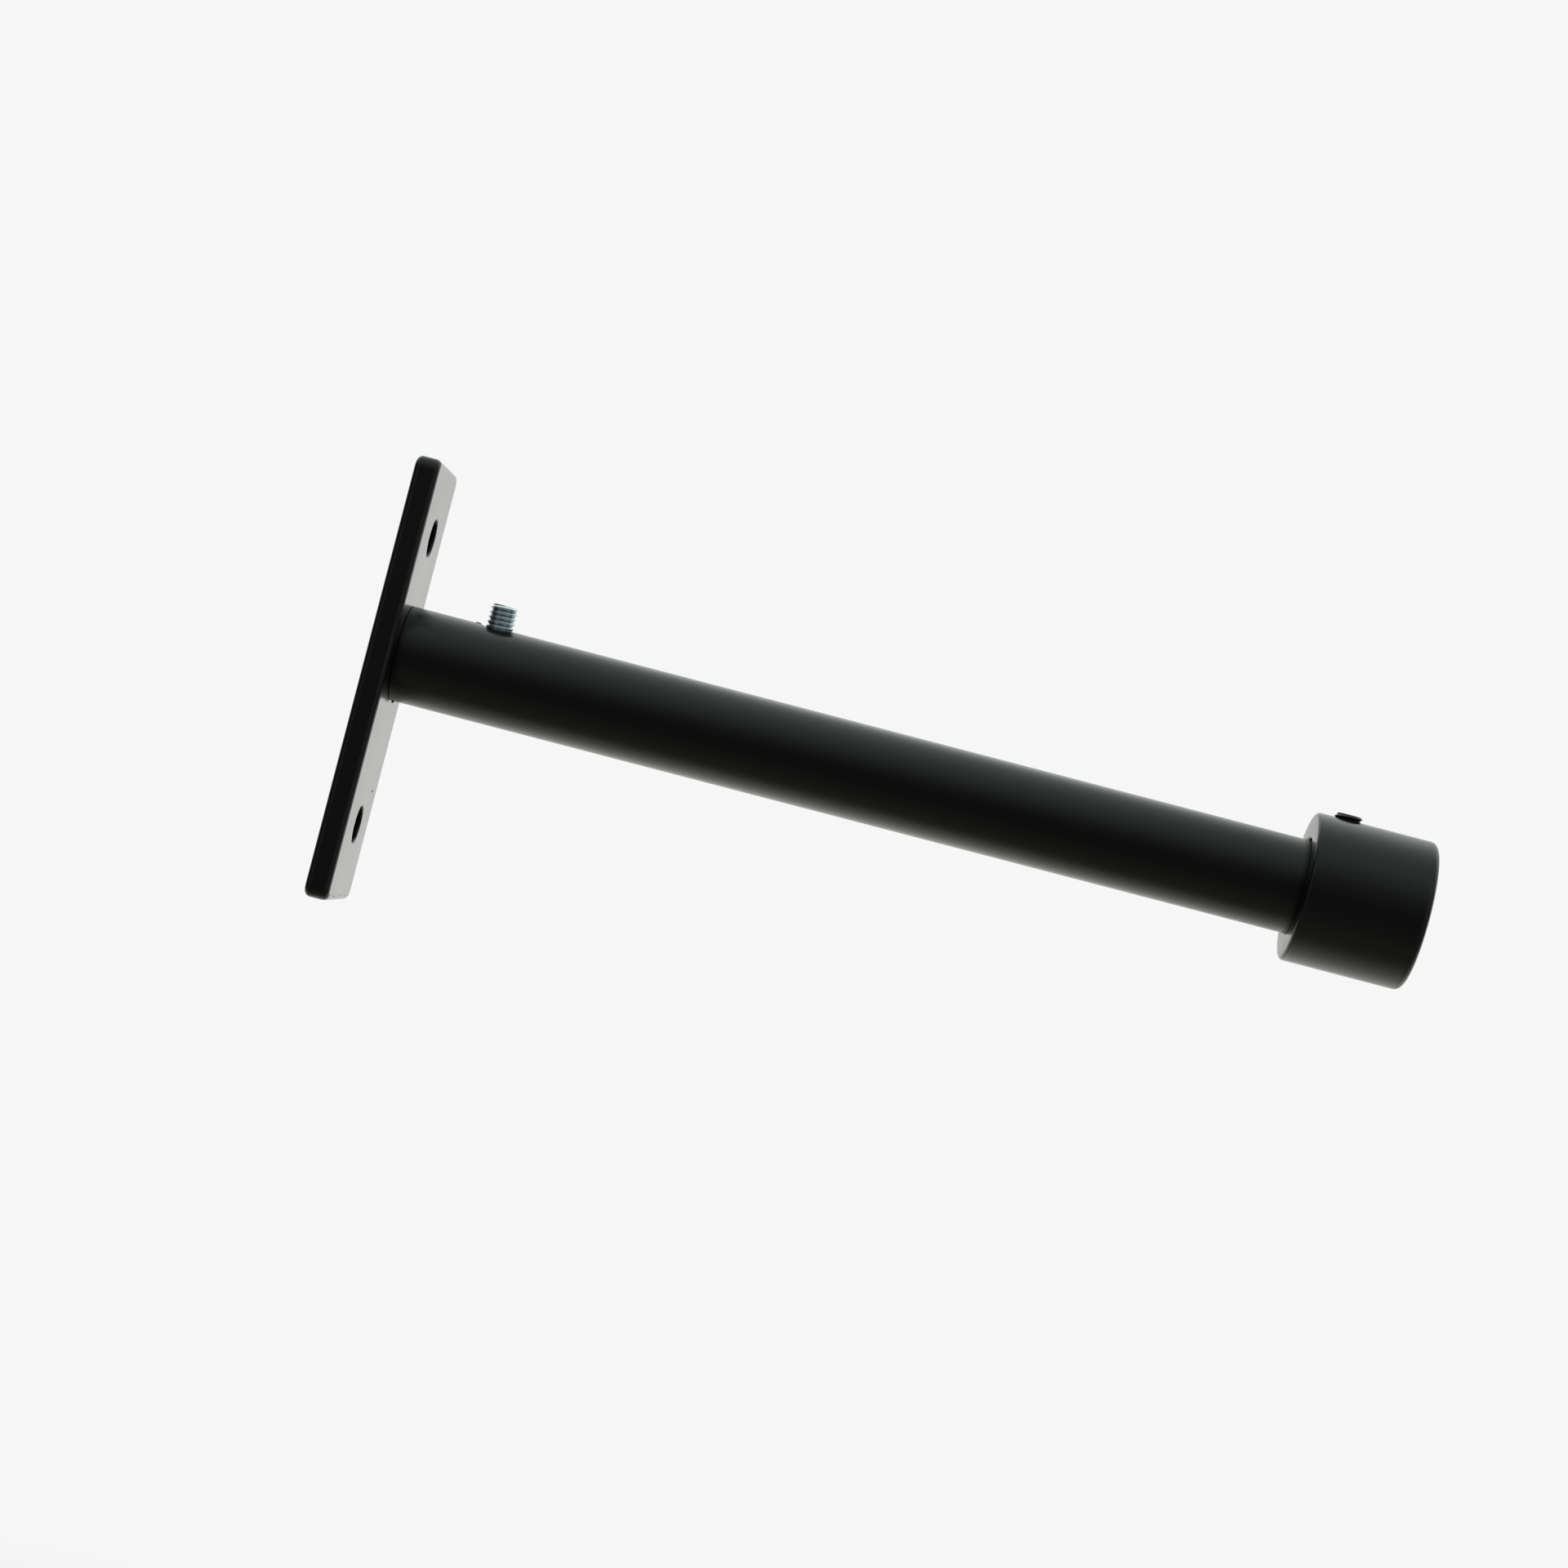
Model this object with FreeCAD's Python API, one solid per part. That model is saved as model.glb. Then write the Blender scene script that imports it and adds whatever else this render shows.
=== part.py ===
import FreeCAD, Part
import math
import os

# Curtain pole bracket: an upright wall plate, a round arm tube on a hidden spigot,
# and a thicker collar closing the arm's outer end. Millimetres, +Z up.
# The origin is midway between the two wall screw holes, on the plate's back face.
# The wall is the plane Y = 0 and the arm reaches out along -Y.

# Wall plate
plate_width = 30.0
plate_thickness = 5.15
plate_corner_radius = 2.6
plate_edge_radius = 1.3
wall_hole_spacing = 61.0
wall_hole_diameter = 7.8
wall_hole_rim_radius = 0.4
margin_above_top_hole = 15.0
margin_below_bottom_hole = 16.3

# Arm tube
arm_height = 6.0
tube_diameter = 20.0
tube_wall = 1.5
tube_length = 203.5
tube_edge_radius = 0.1
tube_joint_gap = 0.05
tube_screw_hole_diameter = 6.8
tube_screw_hole_rim_radius = 0.12

# Spigot inside the tube's wall end
spigot_play = 0.2
spigot_length = 34.0
spigot_lead_chamfer = 1.0

# Threaded screws and their tapped holes, all of one thread size
screw_diameter = 5.9
tapped_hole_diameter = 6.0
tapped_hole_spare_depth = 1.5
screw_end_chamfer = 0.5
screw_tip_chamfer = 0.9
screw_socket_flats = 3.0
screw_socket_depth = 3.0

# Countersunk screw that holds the spigot from behind the plate
spigot_screw_length = 16.0
spigot_screw_head_diameter = 12.0
spigot_screw_head_sink = 0.15
spigot_screw_socket_flats = 4.0
spigot_screw_socket_depth = 2.2
spigot_screw_hole_diameter = 6.6
countersink_play = 0.1

# Set screw through the tube into the spigot
arm_screw_reach = 18.2
arm_screw_stand = 4.75
arm_screw_tip_below_axis = 5.25

# Collar on the tube's outer end
collar_diameter = 31.5
collar_length = 25.7
collar_edge_radius = 1.5
collar_wall_edge_radius = 0.9
collar_bore_play = 0.3
collar_bore_depth = 12.9
collar_bore_rim_chamfer = 0.3
collar_seat_gap = 0.2
collar_contact_gap = 0.02

# Set screw through the collar onto the tube
collar_screw_reach = 6.7
collar_screw_stand = 1.0
collar_screw_seat_depth = 0.9
collar_screw_seat_play = 0.2

# Places worked out from the sizes above
plate_top = wall_hole_spacing / 2 + margin_above_top_hole
plate_bottom = -wall_hole_spacing / 2 - margin_below_bottom_hole
plate_front = -plate_thickness
tube_radius = tube_diameter / 2
tube_bore_radius = tube_radius - tube_wall
tube_start = plate_front - tube_joint_gap
tube_end = tube_start - tube_length
spigot_radius = tube_bore_radius - spigot_play
arm_screw_y = plate_front - arm_screw_reach
collar_radius = collar_diameter / 2
collar_bore_radius = tube_radius + collar_bore_play
# The collar's screw lifts it until its bore bears on the underside of the tube.
collar_height = arm_height + collar_bore_play - collar_contact_gap
collar_start = tube_end - collar_seat_gap + collar_bore_depth
collar_end = collar_start - collar_length
collar_screw_y = collar_start - collar_screw_reach
collar_screw_top = collar_height + collar_radius + collar_screw_stand
collar_screw_tip = arm_height + tube_radius - collar_screw_seat_depth
arm_screw_top = arm_height + tube_radius + arm_screw_stand
arm_screw_tip = arm_height - arm_screw_tip_below_axis

OUTWARD = FreeCAD.Vector(0, -1, 0)
UPWARD = FreeCAD.Vector(0, 0, 1)
# How far a cutting tool runs past the face that it enters by, and how near is the same place.
overcut = 1.0
same_place = 1e-3


def rod(radius, start_y, end_y, height):
    """A cylinder along the arm, from start_y out to end_y."""
    centre = FreeCAD.Vector(0, start_y, height)
    return Part.makeCylinder(radius, start_y - end_y, centre, OUTWARD)


def post(radius, low_z, high_z, y):
    """An upright cylinder centred on the arm's middle plane."""
    return Part.makeCylinder(radius, high_z - low_z, FreeCAD.Vector(0, y, low_z), UPWARD)


def rims(solid, centre, radius):
    """The circular edges of one radius that are centred on one point."""
    found = []
    for edge in solid.Edges:
        curve = edge.Curve
        if not isinstance(curve, Part.Circle):
            continue
        if abs(curve.Radius - radius) > same_place:
            continue
        if (curve.Center - centre).Length < same_place:
            found.append(edge)
    return found


def outer_hole_rim(tube, hole_radius, hole_y):
    """The edges where an upright hole opens on the tube's outer face."""
    found = []
    for edge in tube.Edges:
        points = edge.discretize(7)
        from_hole = [abs(math.hypot(point.x, point.y - hole_y) - hole_radius) for point in points]
        from_face = [abs(math.hypot(point.x, point.z - arm_height) - tube_radius) for point in points]
        if max(from_hole) < same_place and max(from_face) < same_place:
            found.append(edge)
    return found


def hexagon_socket(flats, depth, mouth, inward):
    """A hexagonal recess with a pointed floor, cut from its mouth inward."""
    corner_radius = flats / math.sqrt(3)
    side = inward.cross(FreeCAD.Vector(1, 0, 0))
    corners = []
    for step in range(7):
        angle = math.radians(60 * step)
        across = FreeCAD.Vector(1, 0, 0) * (corner_radius * math.cos(angle))
        along = side * (corner_radius * math.sin(angle))
        corners.append(mouth + across + along)
    prism = Part.Face(Part.makePolygon(corners)).extrude(inward * depth)
    floor_radius = flats / 2
    floor_depth = floor_radius * math.tan(math.radians(30))
    floor = Part.makeCone(floor_radius, 0, floor_depth, mouth + inward * depth, inward)
    return prism.fuse(floor)


def wall_plate():
    height = plate_top - plate_bottom
    corner = FreeCAD.Vector(-plate_width / 2, plate_front, plate_bottom)
    plate = Part.makeBox(plate_width, plate_thickness, height, corner)
    corner_edges = []
    for edge in plate.Edges:
        if abs(edge.tangentAt(edge.FirstParameter).dot(OUTWARD)) > 1 - same_place:
            corner_edges.append(edge)
    plate = plate.makeFillet(plate_corner_radius, corner_edges)
    face_edges = []
    for edge in plate.Edges:
        depths = [vertex.Point.y for vertex in edge.Vertexes]
        if max(depths) - min(depths) < same_place:
            face_edges.append(edge)
    plate = plate.makeFillet(plate_edge_radius, face_edges)
    hole_radius = wall_hole_diameter / 2
    hole_rims = []
    for hole_z in (wall_hole_spacing / 2, -wall_hole_spacing / 2):
        plate = plate.cut(rod(hole_radius, overcut, plate_front - overcut, hole_z))
    for hole_z in (wall_hole_spacing / 2, -wall_hole_spacing / 2):
        for face_y in (0.0, plate_front):
            hole_rims += rims(plate, FreeCAD.Vector(0, face_y, hole_z), hole_radius)
    plate = plate.makeFillet(wall_hole_rim_radius, hole_rims)
    screw_hole_radius = spigot_screw_hole_diameter / 2
    plate = plate.cut(rod(screw_hole_radius, overcut, plate_front - overcut, arm_height))
    return plate.cut(countersunk_head(countersink_play, overcut))


def countersunk_head(play, cover):
    """The screw head's cone, or with play and cover its countersink in the plate."""
    rim_radius = spigot_screw_head_diameter / 2 + play
    rim_y = -spigot_screw_head_sink
    neck_radius = screw_diameter / 2 + play
    neck_depth = rim_radius - neck_radius
    rim_centre = FreeCAD.Vector(0, rim_y, arm_height)
    head = Part.makeCone(rim_radius, neck_radius, neck_depth, rim_centre, OUTWARD)
    if cover > 0:
        head = head.fuse(rod(rim_radius, rim_y + cover, rim_y, arm_height))
    return head


def spigot_screw():
    rim_y = -spigot_screw_head_sink
    tip_y = rim_y - spigot_screw_length
    shank = rod(screw_diameter / 2, rim_y, tip_y, arm_height)
    tip_rims = rims(shank, FreeCAD.Vector(0, tip_y, arm_height), screw_diameter / 2)
    shank = shank.makeChamfer(screw_tip_chamfer, tip_rims)
    screw = shank.fuse(countersunk_head(0.0, 0.0))
    mouth = FreeCAD.Vector(0, rim_y, arm_height)
    socket = hexagon_socket(spigot_screw_socket_flats, spigot_screw_socket_depth, mouth, OUTWARD)
    return screw.cut(socket).removeSplitter()


def arm_spigot():
    end_y = plate_front - spigot_length
    spigot = rod(spigot_radius, plate_front, end_y, arm_height)
    lead_rims = rims(spigot, FreeCAD.Vector(0, end_y, arm_height), spigot_radius)
    spigot = spigot.makeChamfer(spigot_lead_chamfer, lead_rims)
    hole_radius = tapped_hole_diameter / 2
    screw_tip_y = -spigot_screw_head_sink - spigot_screw_length
    back_hole_end = screw_tip_y - tapped_hole_spare_depth
    spigot = spigot.cut(rod(hole_radius, plate_front + overcut, back_hole_end, arm_height))
    mouth_z = arm_height + tube_radius
    return spigot.cut(post(hole_radius, arm_screw_tip, mouth_z, arm_screw_y))


def arm_tube():
    tube = rod(tube_radius, tube_start, tube_end, arm_height)
    outer_rims = rims(tube, FreeCAD.Vector(0, tube_start, arm_height), tube_radius)
    outer_rims += rims(tube, FreeCAD.Vector(0, tube_end, arm_height), tube_radius)
    tube = tube.makeFillet(tube_edge_radius, outer_rims)
    tube = tube.cut(rod(tube_bore_radius, tube_start + overcut, tube_end - overcut, arm_height))
    above_tube = arm_height + tube_diameter
    hole_radius = tube_screw_hole_diameter / 2
    tube = tube.cut(post(hole_radius, arm_height, above_tube, arm_screw_y))
    hole_rim = outer_hole_rim(tube, hole_radius, arm_screw_y)
    tube = tube.makeFillet(tube_screw_hole_rim_radius, hole_rim)
    seat_radius = screw_diameter / 2 + collar_screw_seat_play
    return tube.cut(post(seat_radius, collar_screw_tip, above_tube, collar_screw_y))


def end_collar():
    collar = rod(collar_radius, collar_start, collar_end, collar_height)
    wall_rim = rims(collar, FreeCAD.Vector(0, collar_start, collar_height), collar_radius)
    collar = collar.makeFillet(collar_wall_edge_radius, wall_rim)
    outer_rim = rims(collar, FreeCAD.Vector(0, collar_end, collar_height), collar_radius)
    collar = collar.makeFillet(collar_edge_radius, outer_rim)
    bore_end = collar_start - collar_bore_depth
    collar = collar.cut(rod(collar_bore_radius, collar_start + overcut, bore_end, collar_height))
    mouth = FreeCAD.Vector(0, collar_start, collar_height)
    collar = collar.makeChamfer(collar_bore_rim_chamfer, rims(collar, mouth, collar_bore_radius))
    above_collar = collar_height + collar_diameter
    return collar.cut(post(tapped_hole_diameter / 2, collar_height, above_collar, collar_screw_y))


def grub_screw(tip_z, top_z, y):
    """An upright socket set screw. Its thread is left plain."""
    radius = screw_diameter / 2
    screw = post(radius, tip_z, top_z, y)
    top = FreeCAD.Vector(0, y, top_z)
    screw = screw.makeChamfer(screw_end_chamfer, rims(screw, top, radius))
    tip = FreeCAD.Vector(0, y, tip_z)
    screw = screw.makeChamfer(screw_tip_chamfer, rims(screw, tip, radius))
    return screw.cut(hexagon_socket(screw_socket_flats, screw_socket_depth, top, -UPWARD))


pieces = {
    "wall_plate": wall_plate(),
    "arm_spigot": arm_spigot(),
    "spigot_screw": spigot_screw(),
    "arm_tube": arm_tube(),
    "arm_grub_screw": grub_screw(arm_screw_tip, arm_screw_top, arm_screw_y),
    "end_collar": end_collar(),
    "collar_grub_screw": grub_screw(collar_screw_tip, collar_screw_top, collar_screw_y),
}

os.makedirs("parts", exist_ok=True)
for name, shape in pieces.items():
    if not shape.isValid() or len(shape.Solids) != 1:
        raise ValueError(name + " is not one valid solid")
    shape.Solids[0].exportStep("parts/" + name + ".step")
    print(name, round(shape.Volume / 1000, 2), "cm3")
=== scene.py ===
"""Looks and stage of a curtain pole bracket: a black wall plate and arm with an end collar."""

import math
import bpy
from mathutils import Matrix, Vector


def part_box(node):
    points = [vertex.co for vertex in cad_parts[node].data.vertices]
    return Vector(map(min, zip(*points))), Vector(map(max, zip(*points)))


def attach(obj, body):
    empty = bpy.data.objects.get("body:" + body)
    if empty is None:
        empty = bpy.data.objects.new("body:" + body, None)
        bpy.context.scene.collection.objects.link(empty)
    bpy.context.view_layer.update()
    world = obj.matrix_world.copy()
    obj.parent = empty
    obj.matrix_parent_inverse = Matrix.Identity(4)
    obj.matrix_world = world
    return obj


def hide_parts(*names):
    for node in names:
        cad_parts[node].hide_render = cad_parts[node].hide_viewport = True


bl_info = {
    "name": "Curtain Pole Bracket",
    "version": (1, 0, 0),
    "blender": (4, 5, 0),
    "location": "3D View > Sidebar > Bracket",
    "description": "Finishes, screw threads and stage of a curtain pole bracket",
    "category": "Object",
}

import bmesh
import bpy
from mathutils import Matrix, Vector

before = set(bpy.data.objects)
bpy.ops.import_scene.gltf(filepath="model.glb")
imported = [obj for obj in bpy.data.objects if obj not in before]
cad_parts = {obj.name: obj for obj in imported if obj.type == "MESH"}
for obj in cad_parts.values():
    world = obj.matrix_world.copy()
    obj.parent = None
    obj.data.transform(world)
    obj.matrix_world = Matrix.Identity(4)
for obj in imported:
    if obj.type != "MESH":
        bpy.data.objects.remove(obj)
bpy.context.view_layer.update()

BODY = "root"

# Mesh steps round a quarter turn of an edge's rounding, and round a drilled hole.
EDGE_STEPS = 8
HOLE_SIDES = 96

# Half the width of the floor and its own grey, before it fades into the background.
FLOOR_HALF = 20.0
FLOOR_GREY = 0.82


class Wire:
    """A socket of a node tree. Arithmetic on a wire adds Math nodes to its tree."""

    def __init__(self, tree, socket=None):
        self.tree = tree
        self.socket = socket

    def node(self, kind, settings=None, inputs=None, output=0):
        """Adds a node with its settings, then its socket values or links, and returns one output."""
        made = self.tree.nodes.new(kind)
        for name, value in (settings or {}).items():
            if name == "stops":
                self.set_stops(made.color_ramp, value)
            else:
                setattr(made, name, value)
        for name, value in (inputs or {}).items():
            if isinstance(value, Wire):
                self.tree.links.new(value.socket, made.inputs[name])
            else:
                made.inputs[name].default_value = value
        return Wire(self.tree, made.outputs[output] if made.outputs else None)

    @staticmethod
    def set_stops(ramp, stops):
        """Gives a colour ramp these (place, grey) stops."""
        while len(ramp.elements) > 1:
            ramp.elements.remove(ramp.elements[0])
        for number, (place, grey) in enumerate(stops):
            stop = ramp.elements[0] if number == 0 else ramp.elements.new(place)
            stop.position = place
            stop.color = (grey, grey, grey, 1.0)

    def math(self, operation, *values):
        """A Math node of these values."""
        return self.node("ShaderNodeMath", {"operation": operation}, dict(enumerate(values)))

    def __add__(self, other):
        return self.math("ADD", self, other)

    def __radd__(self, other):
        return self.math("ADD", other, self)

    def __sub__(self, other):
        return self.math("SUBTRACT", self, other)

    def __rsub__(self, other):
        return self.math("SUBTRACT", other, self)

    def __mul__(self, other):
        return self.math("MULTIPLY", self, other)

    def __rmul__(self, other):
        return self.math("MULTIPLY", other, self)

    def __truediv__(self, other):
        return self.math("DIVIDE", self, other)

    def __rtruediv__(self, other):
        return self.math("DIVIDE", other, self)

    def least(self, other):
        return self.math("MINIMUM", self, other)

    def most(self, other):
        return self.math("MAXIMUM", self, other)

    def above(self, other):
        return self.math("GREATER_THAN", self, other)

    def between(self, low, high, smooth=True):
        """0 below low, 1 above high, and a ramp between them."""
        kind = "SMOOTHSTEP" if smooth else "LINEAR"
        inputs = {"Value": self, "From Min": low, "From Max": high}
        return self.node("ShaderNodeMapRange", {"interpolation_type": kind}, inputs)

    def choose(self, low, high):
        """low where this wire is 0 and high where it is 1."""
        return (1.0 - self) * low + self * high

    def tint(self, dark, light):
        """A colour between two colours."""
        settings = {"data_type": "RGBA", "clamp_factor": True}
        return self.node("ShaderNodeMix", settings, {0: self, 6: dark, 7: light}, output=2)

    def part(self, axis):
        """The X, Y or Z of a vector."""
        return self.node("ShaderNodeSeparateXYZ", None, {0: self}, output=axis)


class BracketScrews(bpy.types.PropertyGroup):
    """Sizes of the two set screws."""

    pitch: bpy.props.FloatProperty(
        name="Thread Pitch",
        description="Distance from one thread crest to the next",
        default=0.001,
        unit="LENGTH",
    )
    thread_depth: bpy.props.FloatProperty(
        name="Thread Depth",
        description="Depth of the thread from its crest to its root",
        default=0.00052,
        unit="LENGTH",
    )
    socket_width: bpy.props.FloatProperty(
        name="Socket Width",
        description="Width of the hexagon socket across its flats",
        default=0.003,
        unit="LENGTH",
    )
    socket_depth: bpy.props.FloatProperty(
        name="Socket Depth",
        description="Depth of the hexagon socket",
        default=0.003,
        unit="LENGTH",
    )
    end_chamfer: bpy.props.FloatProperty(
        name="End Chamfer",
        description="Size of the chamfer round the socket end",
        default=0.00045,
        unit="LENGTH",
    )
    tip_chamfer: bpy.props.FloatProperty(
        name="Tip Chamfer",
        description="Size of the chamfer round the tip",
        default=0.001,
        unit="LENGTH",
    )
    start_turn: bpy.props.FloatProperty(
        name="Start Turn",
        description="Share of a turn by which the thread's start is turned round",
        default=0.44,
        min=0.0,
        max=1.0,
    )
    columns: bpy.props.IntProperty(
        name="Columns",
        description="Mesh columns round a screw, in whole sixths for its hexagon",
        default=72,
        min=12,
        max=180,
    )


class BracketTurnings(bpy.types.PropertyGroup):
    """Sizes of the arm tube and the end collar, apart from their outer diameters and lengths."""

    tube_bore: bpy.props.FloatProperty(
        name="Tube Bore",
        description="Inner diameter of the arm tube",
        default=0.017,
        unit="LENGTH",
    )
    tube_edge: bpy.props.FloatProperty(
        name="Tube Edge",
        description="Radius of the tube's end edges",
        default=0.0001,
        unit="LENGTH",
    )
    screw_hole: bpy.props.FloatProperty(
        name="Screw Hole",
        description="Diameter of the clearance hole in the top of the tube",
        default=0.0068,
        unit="LENGTH",
    )
    hole_shift: bpy.props.FloatProperty(
        name="Hole Shift",
        description="How far the screw hole's centre is nearer the wall than its screw",
        default=0.00038,
        unit="LENGTH",
    )
    screw_seat: bpy.props.FloatProperty(
        name="Screw Seat",
        description="Diameter of the seat for the collar's screw in the top of the tube",
        default=0.0063,
        unit="LENGTH",
    )
    hole_rim: bpy.props.FloatProperty(
        name="Hole Rim",
        description="Width of the broken edge round the screw hole",
        default=0.00012,
        unit="LENGTH",
    )
    collar_bore: bpy.props.FloatProperty(
        name="Collar Bore",
        description="Diameter of the collar's bore",
        default=0.0206,
        unit="LENGTH",
    )
    collar_bore_depth: bpy.props.FloatProperty(
        name="Collar Bore Depth",
        description="Depth of the collar's bore from its wall side",
        default=0.0129,
        unit="LENGTH",
    )
    collar_bore_rim: bpy.props.FloatProperty(
        name="Collar Bore Rim",
        description="Chamfer round the mouth of the collar's bore",
        default=0.0003,
        unit="LENGTH",
    )
    collar_wall_edge: bpy.props.FloatProperty(
        name="Collar Wall Edge",
        description="Radius of the collar's edge on its wall side",
        default=0.0009,
        unit="LENGTH",
    )
    collar_outer_edge: bpy.props.FloatProperty(
        name="Collar Outer Edge",
        description="Radius of the collar's edge at its closed end",
        default=0.0015,
        unit="LENGTH",
    )
    tapped_hole: bpy.props.FloatProperty(
        name="Tapped Hole",
        description="Diameter of the tapped hole in the collar",
        default=0.006,
        unit="LENGTH",
    )
    columns: bpy.props.IntProperty(
        name="Columns",
        description="Mesh columns round the tube and the collar, in whole quarters",
        default=192,
        min=24,
        max=360,
    )


class BracketFinishes(bpy.types.PropertyGroup):
    """Colours and grain of the finishes."""

    coat_colour: bpy.props.FloatVectorProperty(
        name="Coat Colour",
        description="Colour of the black powder coat",
        subtype="COLOR",
        size=4,
        default=(0.0052, 0.0053, 0.0052, 1.0),
    )
    coat_roughness: bpy.props.FloatProperty(
        name="Coat Roughness",
        description="Roughness of the powder coat",
        default=0.22,
        min=0.0,
        max=1.0,
        subtype="FACTOR",
    )
    peel_size: bpy.props.FloatProperty(
        name="Orange Peel Size",
        description="Width of one swell in the powder coat's surface",
        default=0.0012,
        unit="LENGTH",
    )
    zinc_colour: bpy.props.FloatVectorProperty(
        name="Zinc Colour",
        description="Colour of the zinc plate",
        subtype="COLOR",
        size=4,
        default=(0.82, 0.89, 0.905, 1.0),
    )
    oxide_colour: bpy.props.FloatVectorProperty(
        name="Black Oxide Colour",
        description="Colour of the blackened steel",
        subtype="COLOR",
        size=4,
        default=(0.012, 0.012, 0.013, 1.0),
    )


class BracketStage(bpy.types.PropertyGroup):
    """Floor, light and camera."""

    floor_drop: bpy.props.FloatProperty(
        name="Floor Drop",
        description="Height of the bracket's origin above the floor",
        default=0.3,
        unit="LENGTH",
    )
    backdrop_grey: bpy.props.FloatProperty(
        name="Backdrop Grey",
        description="Brightness of the floor and the background",
        default=0.925,
        min=0.0,
        max=1.0,
        subtype="FACTOR",
    )
    lens: bpy.props.FloatProperty(
        name="Lens",
        description="Focal length of the camera in millimetres",
        default=76.77,
    )
    lamp_power: bpy.props.FloatProperty(
        name="Lamp Power",
        description="Power of the soft lamp over the bracket",
        default=0.6,
        unit="POWER",
    )


def fresh_material(name):
    """An empty node material and a wire into its tree."""
    material = bpy.data.materials.new(name)
    material.use_nodes = True
    material.node_tree.nodes.clear()
    return material, Wire(material.node_tree)


def close_material(tree, shader):
    """Gives a material its surface."""
    tree.node("ShaderNodeOutputMaterial", None, {"Surface": shader})


def noise(tree, place, width, detail):
    """Soft noise whose swells are about this wide, from 0 to 1."""
    inputs = {"Vector": place, "Scale": 1.0 / width, "Detail": detail}
    return tree.node("ShaderNodeTexNoise", None, inputs)


def bump(tree, height, strength, distance):
    """A normal that follows this height."""
    inputs = {"Strength": strength, "Distance": distance, "Height": height}
    return tree.node("ShaderNodeBump", None, inputs)


def shade(colour, *shares):
    """A colour with its red, green and blue each times a share."""
    return tuple(part * share for part, share in zip(colour, shares)) + (1.0,)


def middle_y(node):
    """Where a solid's middle lies along the arm."""
    low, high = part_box(node)
    return (low.y + high.y) / 2


def powder_coat():
    """Satin black powder coat: orange peel, fine grain and a few nibs."""
    name = "satin black powder coat"
    if name in bpy.data.materials:
        return bpy.data.materials[name]
    finish = bpy.context.scene.bracket_finishes
    material, tree = fresh_material(name)
    place = tree.node("ShaderNodeTexCoord", output=3)
    peel = noise(tree, place, width=finish.peel_size, detail=1.0)
    grain = noise(tree, place, width=0.00022, detail=2.0)
    cloud = noise(tree, place, width=0.018, detail=3.0)
    colour = tuple(finish.coat_colour)
    height = peel * 0.7 + grain * 0.3
    shader = tree.node(
        "ShaderNodeBsdfPrincipled",
        None,
        {
            "Base Color": cloud.tint(colour, shade(colour, 1.5, 1.5, 1.5)),
            "Roughness": finish.coat_roughness - 0.03 + cloud * 0.06,
            "IOR": 1.5,
            "Normal": bump(tree, height, strength=0.05, distance=0.0001),
        },
    )
    close_material(tree, shader)
    return material


def zinc_plate():
    """Bright zinc plate with a cool cast, with painted shade darkening the thread's flanks and roots."""
    name = "bright zinc plate"
    if name in bpy.data.materials:
        return bpy.data.materials[name]
    finish = bpy.context.scene.bracket_finishes
    material, tree = fresh_material(name)
    place = tree.node("ShaderNodeTexCoord", output=3)
    blotch = noise(tree, place, width=0.0022, detail=3.0)
    grain = noise(tree, place, width=0.00012, detail=2.0)
    colour = tuple(finish.zinc_colour)

    # Painted shade: the thread's roots and flanks are darkened to a cooler copy of the zinc colour, and
    # its crests and the screw's socket end keep the full zinc colour.
    low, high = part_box("arm_grub_screw")
    radius = (high.y - low.y) / 2
    depth = bpy.context.scene.bracket_screws.thread_depth
    across = place.part(0)
    along = place.part(1) - middle_y("arm_grub_screw")
    reach = tree.math("SQRT", across * across + along * along)
    crest = reach.between(radius - depth * 0.95, radius - depth * 0.4)
    end = place.part(2).between(high.z - 0.0006, high.z - 0.0004)
    free_of_painted_shade = crest.most(end) * (0.8 + blotch.between(0.35, 0.7) * 0.2)
    shader = tree.node(
        "ShaderNodeBsdfPrincipled",
        None,
        {
            # Painted shade: the darker, cooler copy of the zinc colour goes into the thread's roots and
            # flanks.
            "Base Color": free_of_painted_shade.tint(shade(colour, 0.46, 0.58, 0.62), colour),
            "Metallic": 0.85,
            "Roughness": 0.2 + blotch * 0.1,
            "Normal": bump(tree, grain, strength=0.06, distance=0.00002),
        },
    )
    close_material(tree, shader)
    return material


def black_oxide():
    """Blackened steel with an uneven, lightly oiled surface."""
    name = "black oxide steel"
    if name in bpy.data.materials:
        return bpy.data.materials[name]
    finish = bpy.context.scene.bracket_finishes
    material, tree = fresh_material(name)
    place = tree.node("ShaderNodeTexCoord", output=3)
    blotch = noise(tree, place, width=0.0014, detail=3.0)
    grain = noise(tree, place, width=0.00015, detail=2.0)
    colour = tuple(finish.oxide_colour)
    brown = shade(colour, 2.0, 1.6, 1.4)
    shader = tree.node(
        "ShaderNodeBsdfPrincipled",
        None,
        {
            "Base Color": blotch.between(0.4, 0.75).tint(colour, brown),
            "Roughness": 0.3 + blotch * 0.2,
            "IOR": 1.5,
            "Normal": bump(tree, grain, strength=0.25, distance=0.00002),
        },
    )
    close_material(tree, shader)
    return material


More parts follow.
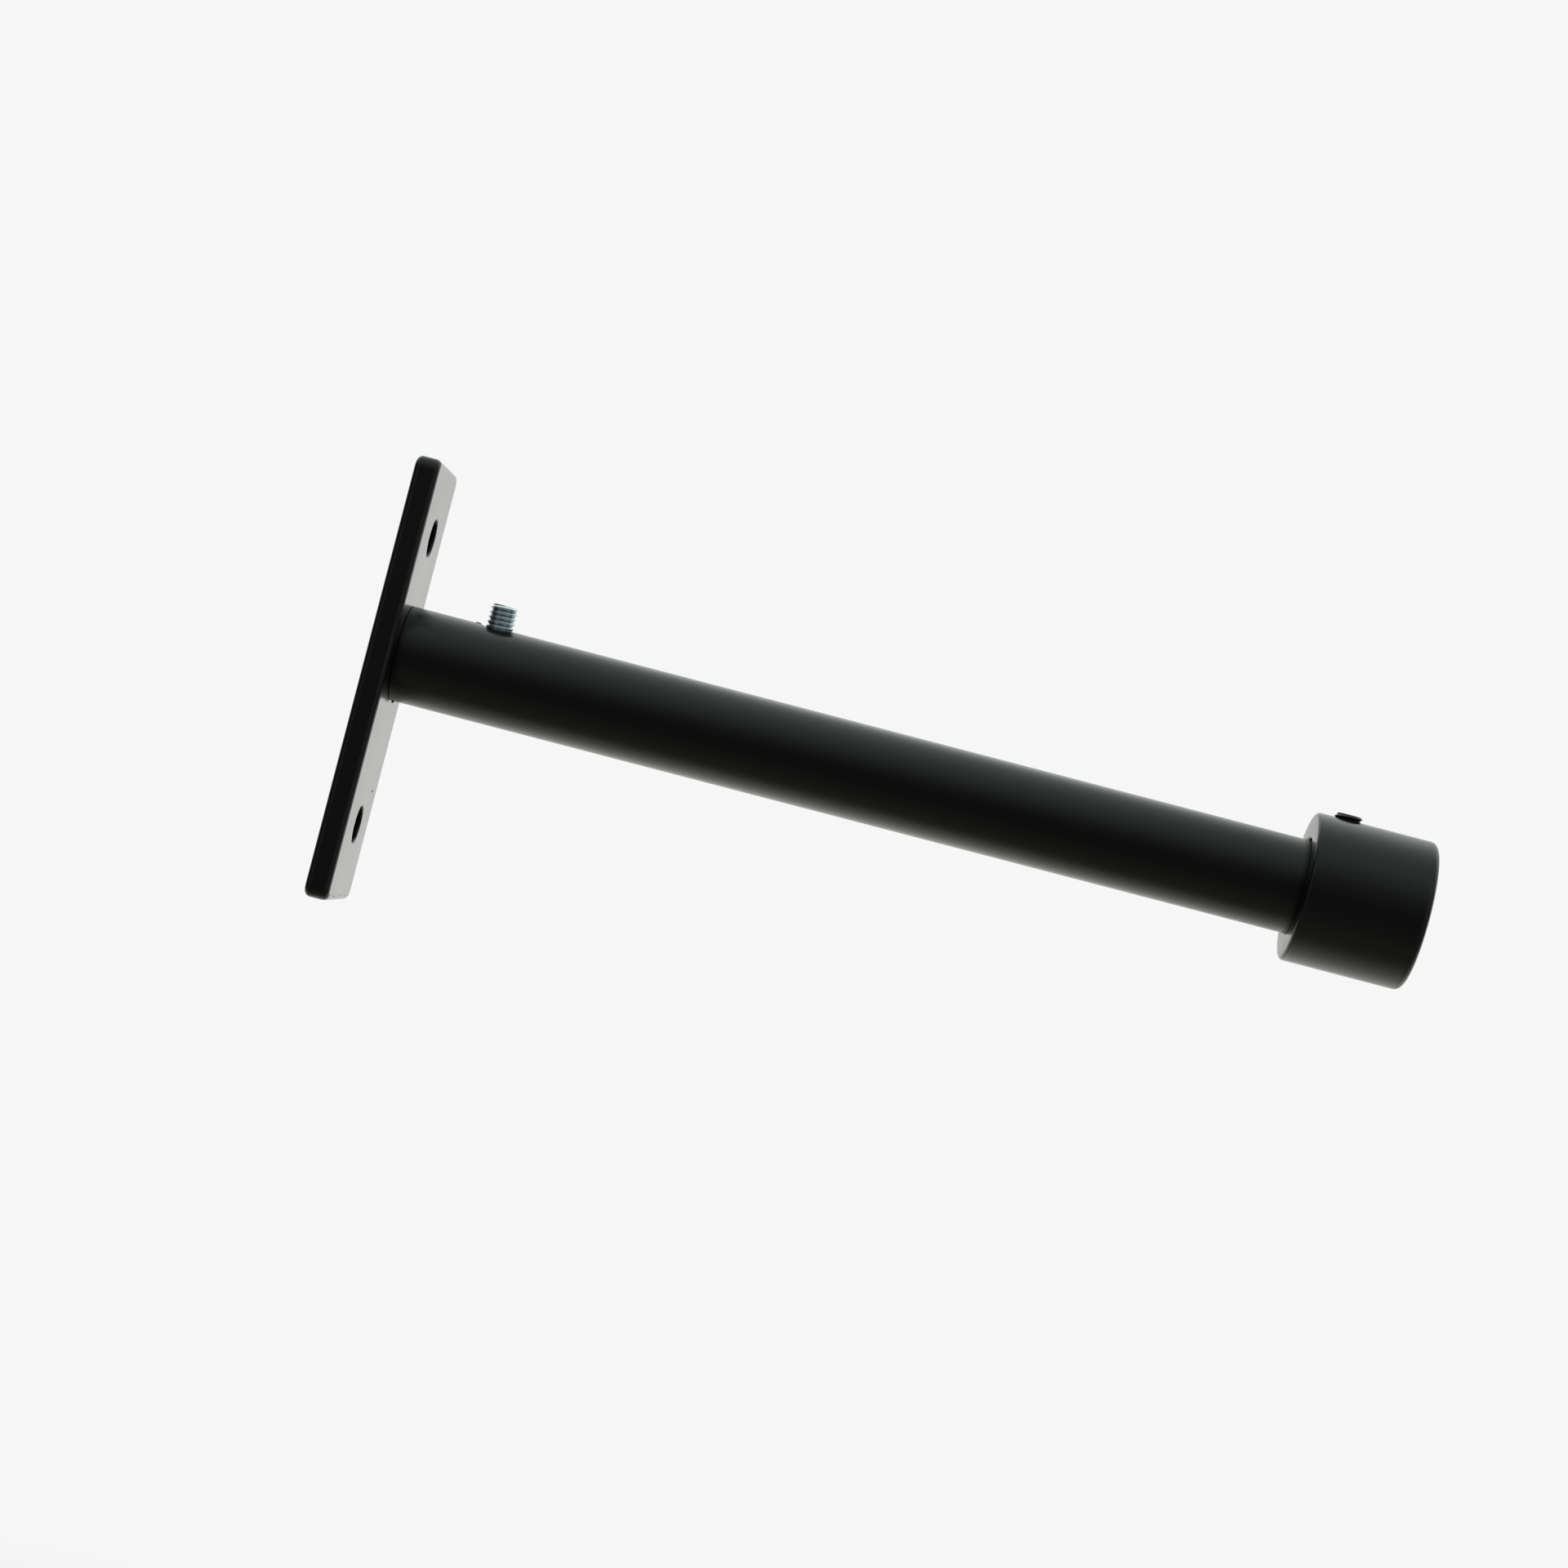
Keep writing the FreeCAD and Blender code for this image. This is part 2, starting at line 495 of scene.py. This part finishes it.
def screw_tree():
    """Geometry nodes of a socket set screw along Z, tip down, with a rolled thread."""
    name = "threaded set screw"
    if name in bpy.data.node_groups:
        return bpy.data.node_groups[name]
    group = bpy.data.node_groups.new(name, "GeometryNodeTree")
    for label, kind in (
        ("Axis Place", "NodeSocketVector"),
        ("Length", "NodeSocketFloat"),
        ("Radius", "NodeSocketFloat"),
        ("Pitch", "NodeSocketFloat"),
        ("Thread Depth", "NodeSocketFloat"),
        ("Socket Width", "NodeSocketFloat"),
        ("Socket Depth", "NodeSocketFloat"),
        ("End Chamfer", "NodeSocketFloat"),
        ("Tip Chamfer", "NodeSocketFloat"),
        ("Start Turn", "NodeSocketFloat"),
        ("Columns", "NodeSocketInt"),
        ("Material", "NodeSocketMaterial"),
    ):
        group.interface.new_socket(label, in_out="INPUT", socket_type=kind)
    group.interface.new_socket("Geometry", in_out="OUTPUT", socket_type="NodeSocketGeometry")
    tree = Wire(group)
    asked = group.nodes.new("NodeGroupInput")

    def size(label):
        return Wire(group, asked.outputs[label])

    rows_per_turn = 12
    tip_rows = 2
    socket_rows = 5
    columns = size("Columns")
    turns = tree.math("CEIL", size("Length") / size("Pitch")) + 2.0
    thread_rows = turns * rows_per_turn
    rows = thread_rows + (tip_rows + socket_rows)
    sheet = tree.node(
        "GeometryNodeMeshGrid",
        None,
        {"Size X": columns, "Size Y": rows, "Vertices X": columns + 1.0, "Vertices Y": rows + 1.0},
    )
    place = tree.node("GeometryNodeInputPosition")
    column = tree.math("ROUND", place.part(0) + columns * 0.5)
    row = tree.math("ROUND", place.part(1) + rows * 0.5)
    share = column / columns
    angle = share * (2.0 * math.pi)

    # The thread's rows climb one pitch in a turn and stop flush at both ends.
    start = share + size("Start Turn") - 2.0
    height = ((row - tip_rows) / rows_per_turn + start) * size("Pitch")
    height = height.most(0.0).least(size("Length"))
    phase = tree.math("FRACT", height / size("Pitch") - start)
    wave = 1.0 - tree.math("ABSOLUTE", phase * 2.0 - 1.0)
    crest = wave.between(0.06, 0.94, smooth=False)
    radius = size("Radius") - size("Thread Depth") * (1.0 - crest)
    radius = radius.least(size("Radius") - size("End Chamfer") + size("Length") - height)
    radius = radius.least(size("Radius") - size("Tip Chamfer") + height)

    # The tip is a flat disc, and the other end sinks into a hexagon with a coned rim and floor.
    flat = size("Socket Width") * 0.5
    turn = tree.math("FRACT", share * 6.0) - 0.5
    hexagon = flat / tree.math("COSINE", turn * (math.pi / 3.0))
    rim = flat * 1.2
    floor = size("Length") - size("Socket Depth")
    rim_height = size("Length") - (rim - hexagon) * 0.6
    first = thread_rows + tip_rows
    for number, (ring, level) in enumerate(
        (
            (rim, size("Length")),
            (hexagon, rim_height),
            (hexagon, floor),
            (flat * 0.8, floor),
            (flat * 0.0, floor - flat * 0.35),
        )
    ):
        past = row.above(first + (number + 0.5))
        radius = past.choose(radius, ring)
        height = past.choose(height, level)
    in_tip = row.above(0.5)
    radius = radius * in_tip
    height = height * row.above(tip_rows - 0.5)

    around = tree.node(
        "ShaderNodeCombineXYZ",
        None,
        {
            0: radius * tree.math("COSINE", angle),
            1: radius * tree.math("SINE", angle),
            2: height,
        },
    )
    placed = tree.node(
        "ShaderNodeVectorMath", {"operation": "ADD"}, {0: around, 1: size("Axis Place")}
    )
    solid = tree.node("GeometryNodeSetPosition", None, {"Geometry": sheet, "Position": placed})
    solid = tree.node("GeometryNodeMergeByDistance", None, {"Geometry": solid, "Distance": 2e-6})
    solid = tree.node("GeometryNodeSetShadeSmooth", {"domain": "FACE"}, {0: solid})
    bend = tree.node("GeometryNodeInputMeshEdgeAngle")
    solid = tree.node(
        "GeometryNodeSetShadeSmooth",
        {"domain": "EDGE"},
        {0: solid, "Selection": bend.above(math.radians(38.0)), "Shade Smooth": False},
    )
    solid = tree.node("GeometryNodeRealizeInstances", None, {0: solid})
    solid = tree.node("GeometryNodeSetMaterial", None, {0: solid, "Material": size("Material")})
    tree.node("NodeGroupOutput", None, {0: solid})
    return group


def threaded_screw(name, node, material, slot):
    """A threaded mesh of a set screw, in place of its plain solid."""
    sizes = bpy.context.scene.bracket_screws
    low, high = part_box(node)
    middle = (low + high) / 2
    piece = bpy.data.objects.new(name, bpy.data.meshes.new(name))
    bpy.context.scene.collection.objects.link(piece)
    modifier = piece.modifiers.new("thread", "NODES")
    modifier.node_group = screw_tree()
    values = {
        "Axis Place": (middle.x, middle.y, low.z),
        "Length": high.z - low.z,
        "Radius": (high.y - low.y) / 2,
        "Pitch": sizes.pitch,
        "Thread Depth": sizes.thread_depth,
        "Socket Width": sizes.socket_width,
        "Socket Depth": sizes.socket_depth,
        "End Chamfer": sizes.end_chamfer,
        "Tip Chamfer": sizes.tip_chamfer,
        "Start Turn": sizes.start_turn,
        "Columns": sizes.columns,
        "Material": material,
    }
    for item in modifier.node_group.interface.items_tree:
        if item.in_out == "INPUT":
            modifier[item.identifier] = values[item.name]
    return settle(piece, slot, node)


def rounded_edge(corner_radius, corner_y, size, way):
    """Points (radius, y) round an edge, from the end face to the side. way is 1 at a +Y end."""
    points = []
    for step in range(EDGE_STEPS + 1):
        angle = math.pi / 2 * step / EDGE_STEPS
        radius = corner_radius - size * (1.0 - math.sin(angle))
        points.append((radius, corner_y - way * size * (1.0 - math.cos(angle))))
    points.append((corner_radius, corner_y - way * size * 1.2))
    return points


def rows_round(radius, middle_y, reach, count=14):
    """Points (radius, y) close together along a side where a hole goes through it."""
    return [(radius, middle_y + reach * (1.0 - 2.0 * step / count)) for step in range(count + 1)]


def turned_mesh(name, profile, axis_height, columns):
    """A closed mesh of (radius, y) points turned about the arm's line."""
    shape = bmesh.new()
    rings = []
    for radius, y in profile:
        ring = []
        for column in range(columns if radius > 0.0 else 1):
            angle = 2.0 * math.pi * column / columns
            x = radius * math.cos(angle)
            z = axis_height + radius * math.sin(angle)
            ring.append(shape.verts.new((x, y, z)))
        rings.append(ring)
    nexts = rings[1:] if profile[0][0] == 0.0 else rings[1:] + rings[:1]
    for ring, after in zip(rings, nexts):
        for column in range(columns):
            beside = column + 1
            corners = [
                ring[column % len(ring)],
                ring[beside % len(ring)],
                after[beside % len(after)],
                after[column % len(after)],
            ]
            shape.faces.new(dict.fromkeys(corners))
    bmesh.ops.recalc_face_normals(shape, faces=shape.faces)
    mesh = bpy.data.meshes.new(name)
    shape.to_mesh(mesh)
    shape.free()
    return mesh


def drill(piece, y, width, floor_height, rim, axis_height, side_radius):
    """Drills an upright hole into the top of a turned piece, with a broken edge that follows it."""
    top = axis_height + 2.0 * side_radius
    rings = []
    shape = bmesh.new()
    for radius, level in ((width / 2, "floor"), (width / 2, "rim"), (width / 2 + 2 * rim, "mouth")):
        ring = []
        for column in range(HOLE_SIDES):
            angle = 2.0 * math.pi * (column + 0.5) / HOLE_SIDES
            x = radius * math.cos(angle)
            surface = axis_height + math.sqrt(side_radius**2 - x**2)
            z = {"floor": floor_height, "rim": surface - rim, "mouth": surface + rim}[level]
            ring.append(shape.verts.new((x, y + radius * math.sin(angle), z)))
        rings.append(ring)
    rings.append([shape.verts.new((corner.co.x, corner.co.y, top)) for corner in rings[-1]])
    for ring, above in zip(rings, rings[1:]):
        for column in range(HOLE_SIDES):
            beside = (column + 1) % HOLE_SIDES
            shape.faces.new((ring[column], ring[beside], above[beside], above[column]))
    shape.faces.new(rings[0])
    shape.faces.new(rings[-1])
    bmesh.ops.recalc_face_normals(shape, faces=shape.faces)
    mesh = bpy.data.meshes.new("drill")
    shape.to_mesh(mesh)
    shape.free()
    cutter = bpy.data.objects.new("drill", mesh)
    bpy.context.scene.collection.objects.link(cutter)
    cut = piece.modifiers.new("hole", "BOOLEAN")
    cut.operation = "DIFFERENCE"
    cut.solver = "EXACT"
    cut.object = cutter
    return cutter


def turned_piece(name, node, profile, holes):
    """A coated turned piece with upright holes of (y, width, floor height, rim), for a solid."""
    low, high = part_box(node)
    axis_height = (low.z + high.z) / 2
    side_radius = (high.z - low.z) / 2
    columns = bpy.context.scene.bracket_turnings.columns
    mesh = turned_mesh(name, profile, axis_height, columns)
    mesh.materials.append(powder_coat())
    piece = bpy.data.objects.new(name, mesh)
    bpy.context.scene.collection.objects.link(piece)
    cutters = [drill(piece, *hole, axis_height, side_radius) for hole in holes]
    settle(piece, "black_powder_coat", node)
    for cutter in cutters:
        bpy.data.objects.remove(cutter)
    piece.data.shade_smooth()
    piece.data.set_sharp_from_angle(angle=math.radians(35.0))
    return piece


def nib_tree():
    """Geometry nodes that set a small swollen bead of coating on each point."""
    name = "coating nibs"
    if name in bpy.data.node_groups:
        return bpy.data.node_groups[name]
    group = bpy.data.node_groups.new(name, "GeometryNodeTree")
    for label, kind in (
        ("Geometry", "NodeSocketGeometry"),
        ("Size", "NodeSocketVector"),
        ("Spread", "NodeSocketFloat"),
        ("Seed", "NodeSocketInt"),
        ("Material", "NodeSocketMaterial"),
    ):
        group.interface.new_socket(label, in_out="INPUT", socket_type=kind)
    group.interface.new_socket("Geometry", in_out="OUTPUT", socket_type="NodeSocketGeometry")
    tree = Wire(group)
    asked = group.nodes.new("NodeGroupInput")

    def given(label):
        return Wire(group, asked.outputs[label])

    bead = tree.node("GeometryNodeMeshUVSphere", None, {"Segments": 24, "Rings": 14, "Radius": 1.0})
    place = tree.node("GeometryNodeInputPosition")
    bulge = tree.node(
        "ShaderNodeTexNoise", {"noise_dimensions": "4D"}, {"Vector": place, "W": 3.0, "Scale": 0.9}
    )
    swell = 0.8 + bulge * 0.4
    shaped = tree.node(
        "ShaderNodeVectorMath", {"operation": "SCALE"}, {0: place, "Scale": swell}
    )
    bead = tree.node("GeometryNodeSetPosition", None, {"Geometry": bead, "Position": shaped})
    bead = tree.node("GeometryNodeSetShadeSmooth", {"domain": "FACE"}, {0: bead})
    least = 1.0 - given("Spread")
    most = 1.0 + given("Spread")
    random = tree.node(
        "FunctionNodeRandomValue",
        {"data_type": "FLOAT"},
        {2: least, 3: most, "Seed": given("Seed")},
        output=1,
    )
    scale = tree.node(
        "ShaderNodeVectorMath", {"operation": "SCALE"}, {0: given("Size"), "Scale": random}
    )
    beads = tree.node(
        "GeometryNodeInstanceOnPoints",
        None,
        {"Points": given("Geometry"), "Instance": bead, "Scale": scale},
    )
    beads = tree.node("GeometryNodeRealizeInstances", None, {0: beads})
    beads = tree.node("GeometryNodeSetMaterial", None, {0: beads, "Material": given("Material")})
    tree.node("NodeGroupOutput", None, {0: beads})
    return group


def coating_nibs(name, points, size, spread, seed):
    """Beads of coating of this half size at these points."""
    mesh = bpy.data.meshes.new(name)
    mesh.from_pydata(points, [], [])
    piece = bpy.data.objects.new(name, mesh)
    bpy.context.scene.collection.objects.link(piece)
    modifier = piece.modifiers.new("nibs", "NODES")
    modifier.node_group = nib_tree()
    values = {"Size": size, "Spread": spread, "Seed": seed, "Material": powder_coat()}
    for item in modifier.node_group.interface.items_tree:
        if item.in_out == "INPUT" and item.name in values:
            modifier[item.identifier] = values[item.name]
    return settle(piece, "black_powder_coat")


def settle(piece, slot, *nodes):
    """Bakes a piece's modifiers, then makes it ride on the bracket. The slot it is given is not used."""
    graph = bpy.context.evaluated_depsgraph_get()
    baked = bpy.data.meshes.new_from_object(piece.evaluated_get(graph))
    baked.name = piece.name
    if len(baked.materials) > 1 and baked.materials[0] is None:
        baked.materials.pop(index=0)
    piece.modifiers.clear()
    piece.data = baked
    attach(piece, BODY)
    if nodes:
        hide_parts(*nodes)
    return piece


def coat_node(node, material):
    """Gives a solid of the bracket its finish."""
    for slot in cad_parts[node].material_slots:
        slot.material = material


class BRACKET_OT_wall_plate(bpy.types.Operator):
    """Coat the wall plate"""

    bl_idname = "bracket.wall_plate"
    bl_label = "Wall Plate"

    def execute(self, context):
        coat_node("wall_plate", powder_coat())
        return {"FINISHED"}


class BRACKET_OT_arm_tube(bpy.types.Operator):
    """Turn and coat the arm tube"""

    bl_idname = "bracket.arm_tube"
    bl_label = "Arm Tube"

    def execute(self, context):
        sizes = context.scene.bracket_turnings
        low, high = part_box("arm_tube")
        radius = (high.z - low.z) / 2
        hole_y = middle_y("arm_grub_screw") + sizes.hole_shift
        seat_y = middle_y("collar_grub_screw")
        seat_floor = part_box("collar_grub_screw")[0].z
        bore = sizes.tube_bore / 2
        profile = [(bore, high.y)]
        profile += rounded_edge(radius, high.y, sizes.tube_edge, 1.0)
        profile += rows_round(radius, hole_y, sizes.screw_hole)
        profile += rows_round(radius, seat_y, sizes.screw_seat * 0.75)
        profile += reversed(rounded_edge(radius, low.y, sizes.tube_edge, -1.0))
        profile += [(bore, low.y)]
        profile += reversed(rows_round(bore, seat_y, sizes.screw_seat * 0.75))
        profile += reversed(rows_round(bore, hole_y, sizes.screw_hole))
        middle = (low.z + high.z) / 2
        holes = [
            (hole_y, sizes.screw_hole, middle, sizes.hole_rim),
            (seat_y, sizes.screw_seat, seat_floor, 0.00002),
        ]
        turned_piece("arm", "arm_tube", profile, holes)
        return {"FINISHED"}


class BRACKET_OT_end_collar(bpy.types.Operator):
    """Turn and coat the end collar"""

    bl_idname = "bracket.end_collar"
    bl_label = "End Collar"

    def execute(self, context):
        sizes = context.scene.bracket_turnings
        low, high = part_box("end_collar")
        radius = min(high.z - low.z, high.x - low.x) / 2
        hole_y = middle_y("collar_grub_screw")
        bore = sizes.collar_bore / 2
        rim = sizes.collar_bore_rim
        floor_y = high.y - sizes.collar_bore_depth
        profile = [(0.0, floor_y), (bore, floor_y)]
        profile += reversed(rows_round(bore, hole_y, sizes.tapped_hole * 0.75))
        profile += [(bore, high.y - rim), (bore + rim, high.y)]
        profile += rounded_edge(radius, high.y, sizes.collar_wall_edge, 1.0)
        profile += rows_round(radius, hole_y, sizes.tapped_hole * 0.75)
        profile += reversed(rounded_edge(radius, low.y, sizes.collar_outer_edge, -1.0))
        profile += [(0.0, low.y)]
        middle = (low.z + high.z) / 2
        holes = [(hole_y, sizes.tapped_hole, middle, 0.00004)]
        turned_piece("collar", "end_collar", profile, holes)
        return {"FINISHED"}


class BRACKET_OT_coating_nibs(bpy.types.Operator):
    """Add the beads that the powder coat left beside holes and edges"""

    bl_idname = "bracket.coating_nibs"
    bl_label = "Coating Nibs"

    def execute(self, context):
        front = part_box("wall_plate")[0].y
        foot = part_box("wall_plate")[0].z
        low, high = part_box("arm_tube")
        crown = (0.0, middle_y("arm_grub_screw") + 0.0045, high.z - 0.00006)
        coating_nibs("hole_bead", [crown], (0.0011, 0.0007, 0.00028), 0.0, 1)
        drip = (0.0, high.y - 0.00055, low.z)
        coating_nibs("tube_drip", [drip], (0.0004, 0.0003, 0.00045), 0.0, 2)
        speck = (0.0088, front, -0.0232)
        coating_nibs("plate_speck", [speck], (0.0006, 0.00012, 0.0003), 0.0, 3)
        row = [
            (x, front, foot + rise)
            for x, rise in (
                (-0.0121, 0.0012),
                (-0.0093, 0.0014),
                (-0.0061, 0.001),
                (-0.0024, 0.0013),
                (0.0008, 0.0011),
                (0.0047, 0.0014),
                (0.0083, 0.001),
                (0.0119, 0.0012),
            )
        ]
        coating_nibs("foot_nibs", row, (0.0004, 0.00004, 0.0002), 0.3, 4)
        return {"FINISHED"}


class BRACKET_OT_set_screws(bpy.types.Operator):
    """Cut the threads of the two set screws"""

    bl_idname = "bracket.set_screws"
    bl_label = "Set Screws"

    def execute(self, context):
        threaded_screw("arm_set_screw", "arm_grub_screw", zinc_plate(), "zinc_plated_steel")
        threaded_screw("collar_set_screw", "collar_grub_screw", black_oxide(), "blackened_steel")
        return {"FINISHED"}


class BRACKET_OT_arm_fixing(bpy.types.Operator):
    """Blacken the spigot inside the arm and the screw that holds it"""

    bl_idname = "bracket.arm_fixing"
    bl_label = "Arm Fixing"

    def execute(self, context):
        coat_node("arm_spigot", black_oxide())
        coat_node("spigot_screw", black_oxide())
        return {"FINISHED"}


class BRACKET_OT_stage(bpy.types.Operator):
    """Build the floor, the light and the camera"""

    bl_idname = "bracket.stage"
    bl_label = "Stage"

    def execute(self, context):
        build_floor()
        build_world()
        build_lamp()
        build_camera()
        context.scene.view_settings.view_transform = "Standard"
        return {"FINISHED"}


def build_floor():
    """A pale floor that keeps the bracket's soft shadow and fades into the background."""
    stage = bpy.context.scene.bracket_stage
    half = FLOOR_HALF
    corners = [(-half, -half), (half, -half), (half, half), (-half, half)]
    mesh = bpy.data.meshes.new("floor")
    mesh.from_pydata([(x, y, -stage.floor_drop) for x, y in corners], [], [(0, 1, 2, 3)])
    floor = bpy.data.objects.new("floor", mesh)
    bpy.context.scene.collection.objects.link(floor)
    material, tree = fresh_material("pale floor")
    grey = stage.backdrop_grey
    matte = tree.node("ShaderNodeBsdfDiffuse", None, {"Color": (FLOOR_GREY,) * 3 + (1.0,)})
    glow = tree.node("ShaderNodeEmission", None, {"Color": (grey, grey, grey, 1.0)})
    place = tree.node("ShaderNodeTexCoord", output=3)
    reach = tree.node("ShaderNodeVectorMath", {"operation": "LENGTH"}, {0: place}, output=1)
    seen = tree.node("ShaderNodeLightPath", output="Is Camera Ray")
    fade = seen * (0.5 + reach.between(0.32, 0.55) * 0.5)
    mixed = tree.node("ShaderNodeMixShader", None, {0: fade, 1: matte, 2: glow})
    close_material(tree, mixed)
    mesh.materials.append(material)
    floor.visible_glossy = False
    floor.visible_diffuse = False


def build_world():
    """White surroundings above, below and beyond, darker where the camera stands."""
    world = bpy.data.worlds.new("studio")
    bpy.context.scene.world = world
    world.use_nodes = True
    world.node_tree.nodes.clear()
    tree = Wire(world.node_tree)
    grey = bpy.context.scene.bracket_stage.backdrop_grey
    ray = tree.node("ShaderNodeTexCoord", output=0)
    x, y, z = (ray.part(axis) for axis in range(3))
    angle = tree.math("ARCCOSINE", x * -1.0) / math.pi
    side = tree.math("SQRT", y * y + z * z + 1e-6)
    upwards = (z / side).between(-0.95, 0.95)
    above = tree.node(
        "ShaderNodeValToRGB",
        {
            "stops": (
                (0.0, 0.055),
                (0.128, 0.165),
                (0.222, 0.34),
                (0.317, 0.52),
                (0.422, 0.7),
                (0.539, 0.9),
                (0.61, 0.97),
                (0.69, 1.08),
                (0.744, 1.22),
                (0.8, 1.32),
                (0.85, 1.26),
                (0.9, 1.15),
                (0.96, 1.19),
            )
        },
        {0: angle},
    )
    below = tree.node(
        "ShaderNodeValToRGB",
        {
            "stops": (
                (0.0, 0.055),
                (0.128, 0.077),
                (0.261, 0.12),
                (0.333, 0.17),
                (0.411, 0.2),
                (0.467, 0.31),
                (0.528, 0.6),
                (0.594, 0.92),
                (0.63, 1.05),
                (0.672, 1.2),
                (0.72, 1.28),
                (0.78, 1.34),
                (0.85, 1.16),
                (0.9, 1.12),
                (0.96, 1.18),
            )
        },
        {0: angle},
    )
    beyond = angle.between(0.86, 0.95)
    fall_above = tree.node(
        "ShaderNodeValToRGB",
        {
            "stops": (
                (0.3, 0.0),
                (0.41, 0.3),
                (0.5, 0.35),
                (0.56, 0.28),
                (0.647, 0.07),
                (0.713, 0.05),
                (0.8, 0.27),
                (0.87, 0.33),
                (0.92, 0.0),
            )
        },
        {0: angle},
    )
    fall_below = tree.node(
        "ShaderNodeValToRGB",
        {
            "stops": (
                (0.3, 0.0),
                (0.41, 0.3),
                (0.5, 0.5),
                (0.64, 0.52),
                (0.7, 0.45),
                (0.8, 0.35),
                (0.87, 0.35),
                (0.92, 0.0),
            )
        },
        {0: angle},
    )
    aside = tree.math("ABSOLUTE", y).between(0.05, 0.2) * upwards.choose(fall_below, fall_above)
    wall_side = y.between(0.7, 0.9) * (1.0 - angle.between(0.7, 0.8))
    room_side = (y * -1.0).between(0.75, 0.95) * (1.0 - angle.between(0.5, 0.6))
    flank = wall_side + room_side * 0.6
    level = upwards.choose(below, above) * (1.0 - beyond * y)
    level = level * (1.0 - aside) * (1.0 - flank * 0.85)
    cast = upwards.tint((1.0, 1.0, 0.92, 1.0), (0.95, 1.0, 1.0, 1.0))
    cast = angle.between(0.8, 0.92).tint(cast, (1.0, 1.0, 0.985, 1.0))
    around = tree.node("ShaderNodeVectorMath", {"operation": "SCALE"}, {0: cast, "Scale": level})
    seen = tree.node("ShaderNodeLightPath", output="Is Camera Ray")
    colour = seen.tint(around, (grey, grey, grey, 1.0))
    shader = tree.node("ShaderNodeBackground", None, {"Color": colour, "Strength": 1.0})
    tree.node("ShaderNodeOutputWorld", None, {"Surface": shader})


def build_lamp():
    """A wide soft lamp over the arm."""
    lamp = bpy.data.lights.new("soft lamp", "AREA")
    lamp.shape = "RECTANGLE"
    lamp.size = 2.4
    lamp.size_y = 2.4
    lamp.energy = bpy.context.scene.bracket_stage.lamp_power
    holder = bpy.data.objects.new("soft lamp", lamp)
    bpy.context.scene.collection.objects.link(holder)
    holder.location = (0.35, -0.1, 1.6)
    aim = Vector((0.0, -0.1, 0.0)) - holder.location
    holder.rotation_euler = aim.to_track_quat("-Z", "Y").to_euler()


def build_camera():
    """The camera stands level beside the arm and is rolled, so that the arm slopes down to the right."""
    camera = bpy.data.cameras.new("camera")
    camera.lens = bpy.context.scene.bracket_stage.lens
    camera.sensor_width = 36.0
    camera.shift_x = -0.04261
    camera.shift_y = 0.05236

    # The roll of 14.6 degrees about the line of sight, which runs square to the arm.
    holder = bpy.data.objects.new("camera", camera)
    bpy.context.scene.collection.objects.link(holder)
    right = Vector((0.0, -0.9676, 0.2526)).normalized()
    up = Vector((0.0, 0.2526, 0.9676)).normalized()
    back = Vector((-1.0, 0.0, 0.0))
    turned = Matrix((right, up, back)).transposed().to_4x4()
    holder.matrix_world = Matrix.Translation((-0.69, -0.1058, -0.0131)) @ turned
    bpy.context.scene.camera = holder


class BRACKET_PT_panel(bpy.types.Panel):
    """Builds the bracket's pieces and stage"""

    bl_idname = "BRACKET_PT_panel"
    bl_label = "Curtain Pole Bracket"
    bl_space_type = "VIEW_3D"
    bl_region_type = "UI"
    bl_category = "Bracket"

    def draw(self, context):
        for step in STEPS:
            self.layout.operator(step.bl_idname)
        for group in GROUPS:
            settings = getattr(context.scene, group)
            box = self.layout.box()
            for name in settings.__annotations__:
                box.prop(settings, name)


STEPS = (
    BRACKET_OT_wall_plate,
    BRACKET_OT_arm_tube,
    BRACKET_OT_end_collar,
    BRACKET_OT_coating_nibs,
    BRACKET_OT_set_screws,
    BRACKET_OT_arm_fixing,
    BRACKET_OT_stage,
)
GROUPS = {
    "bracket_screws": BracketScrews,
    "bracket_turnings": BracketTurnings,
    "bracket_finishes": BracketFinishes,
    "bracket_stage": BracketStage,
}


def register():
    for made in (*GROUPS.values(), *STEPS, BRACKET_PT_panel):
        bpy.utils.register_class(made)
    for name, group in GROUPS.items():
        setattr(bpy.types.Scene, name, bpy.props.PointerProperty(type=group))


def unregister():
    for name in GROUPS:
        delattr(bpy.types.Scene, name)
    for made in reversed((*GROUPS.values(), *STEPS, BRACKET_PT_panel)):
        bpy.utils.unregister_class(made)


def main():
    register()
    bpy.ops.bracket.wall_plate()
    bpy.ops.bracket.arm_tube()
    bpy.ops.bracket.end_collar()
    bpy.ops.bracket.coating_nibs()
    bpy.ops.bracket.set_screws()
    bpy.ops.bracket.arm_fixing()
    bpy.ops.bracket.stage()


if __name__ == "__main__":
    main()
